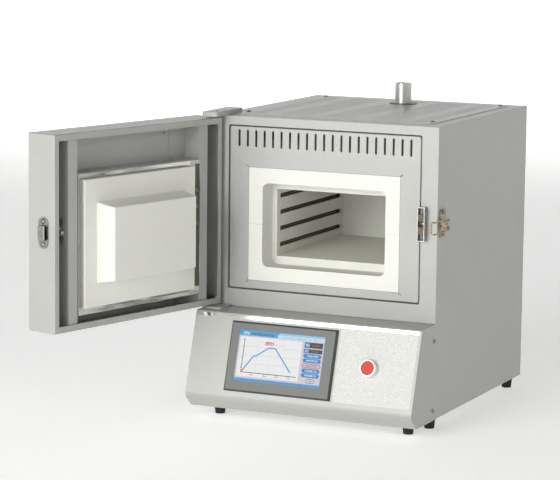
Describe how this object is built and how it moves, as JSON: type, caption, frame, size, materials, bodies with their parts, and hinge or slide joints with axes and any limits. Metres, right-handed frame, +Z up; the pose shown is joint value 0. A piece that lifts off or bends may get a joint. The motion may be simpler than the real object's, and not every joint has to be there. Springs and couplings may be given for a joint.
{
  "type": "bench-top muffle kiln",
  "caption": "Bench-top electric muffle kiln with a fibre chamber, swing door with a plug, side draw latch, chimney and a sloping touch-screen console.",
  "frame": {"origin": "on the floor, under the middle of the cabinet's plan", "axes": "+X to the right seen from the front, +Y to the back, +Z up"},
  "size_m": [0.5788, 0.8631, 0.5582],
  "materials": {
    "cabinet_paint": "satin",
    "door_paint": "satin",
    "polished_trim": "polished",
    "console_film": "satin",
    "bezel_plastic": "satin",
    "screen_glass": "gloss",
    "black_plastic": "matte",
    "button_red": "gloss",
    "button_collar": "gloss",
    "foot_rubber": "matte",
    "stainless": "satin",
    "fibre_board": "matte",
    "fibre_blanket": "matte",
    "heating_alloy": "matte",
    "fired_ceramic": "matte",
    "nickel_plate": "satin",
    "zinc_plate": "satin",
    "spring_steel": "satin",
    "catch_plastic": "satin",
    "bare_aluminium": "satin"
  },
  "bodies": {
    "cabinet": {"base_shell": "cabinet_paint", "base_back_panel": "cabinet_paint", "console_shell": "cabinet_paint", "body_shell": "cabinet_paint", "front_frame": "cabinet_paint", "front_panel": "cabinet_paint", "back_panel": "cabinet_paint", "top_cover": "cabinet_paint", "hinge_top_plate": "cabinet_paint", "hinge_bottom_plate": "cabinet_paint", "console_trim": "polished_trim", "console_overlay": "console_film", "touch_bezel": "bezel_plastic", "touch_screen": "screen_glass", "touch_housing": "black_plastic", "button_contact_block": "black_plastic", "terminal_block": "black_plastic", "solid_state_relay": "black_plastic", "cable_gland": "black_plastic", "button_ring": "button_collar", "feet": "foot_rubber", "chimney_tube": "stainless", "chimney_flange": "stainless", "mouth_lower": "fibre_board", "mouth_upper": "fibre_board", "chamber_left_wall": "fibre_board", "chamber_right_wall": "fibre_board", "chamber_roof": "fibre_board", "chamber_floor": "fibre_board", "chamber_back_wall": "fibre_board", "insulation_jacket": "fibre_blanket", "heating_coils": "heating_alloy", "element_leads": "heating_alloy", "flue_duct": "fired_ceramic", "thermocouple_sheath": "fired_ceramic", "element_terminals": "fired_ceramic", "thermocouple_head": "fired_ceramic", "latch_base": "nickel_plate", "latch_pin": "nickel_plate", "panel_screws": "nickel_plate", "catch_housing": "zinc_plate", "hinge_pins": "zinc_plate", "button_spring": "spring_steel", "catch_springs": "spring_steel", "relay_heat_sink": "bare_aluminium", "power_supply": "bare_aluminium"},
    "door": {"door_skin": "door_paint", "door_inner_frame": "door_paint", "door_tray": "stainless", "door_plug": "fibre_board", "door_backing": "fibre_blanket", "door_pivot_blocks": "zinc_plate", "door_keeper": "nickel_plate", "door_strike": "zinc_plate", "door_screws": "nickel_plate"},
    "button_cap": {"button_cap": "button_red"},
    "catch_upper_jaw": {"catch_upper_jaw": "catch_plastic"},
    "catch_lower_jaw": {"catch_lower_jaw": "catch_plastic"},
    "latch_lever": {"latch_lever": "nickel_plate"},
    "latch_bail": {"latch_bail": "nickel_plate"}
  },
  "joints": [
    {"name": "door_swing", "type": "hinge", "parent": "cabinet", "child": "door", "pos_m": [-0.1995, -0.2306, 0], "axis": [0, 0, 1], "range_deg": [-7, 104.7]},
    {"name": "button_press", "type": "slide", "parent": "cabinet", "child": "button_cap", "axis": [0, 0.9558, -0.2941], "range_m": [0, 0.0032], "stiffness_N_per_m": 500, "springref_m": -0.004, "deforming": ["button_spring"]},
    {"name": "catch_upper_slide", "type": "slide", "parent": "cabinet", "child": "catch_upper_jaw", "axis": [0, 0, 1], "range_m": [0, 0.003], "stiffness_N_per_m": 300, "springref_m": -0.006, "deforming": ["catch_springs"]},
    {"name": "catch_lower_slide", "type": "slide", "parent": "cabinet", "child": "catch_lower_jaw", "axis": [0, 0, -1], "range_m": [0, 0.003], "stiffness_N_per_m": 300, "springref_m": -0.006, "deforming": ["catch_springs"]},
    {"name": "latch_throw", "type": "hinge", "parent": "cabinet", "child": "latch_lever", "pos_m": [0.2185, -0.196, 0.355], "axis": [0, 0, 1], "range_deg": [0, 160]},
    {"name": "bail_turn", "type": "hinge", "parent": "latch_lever", "child": "latch_bail", "pos_m": [0.22396, -0.20185, 0.355], "axis": [0, 0, 1], "range_deg": [-160, 0]}
  ],
  "couplings": [
    {"joint": "bail_turn", "follows": "latch_throw", "ratio": -1}
  ]
}
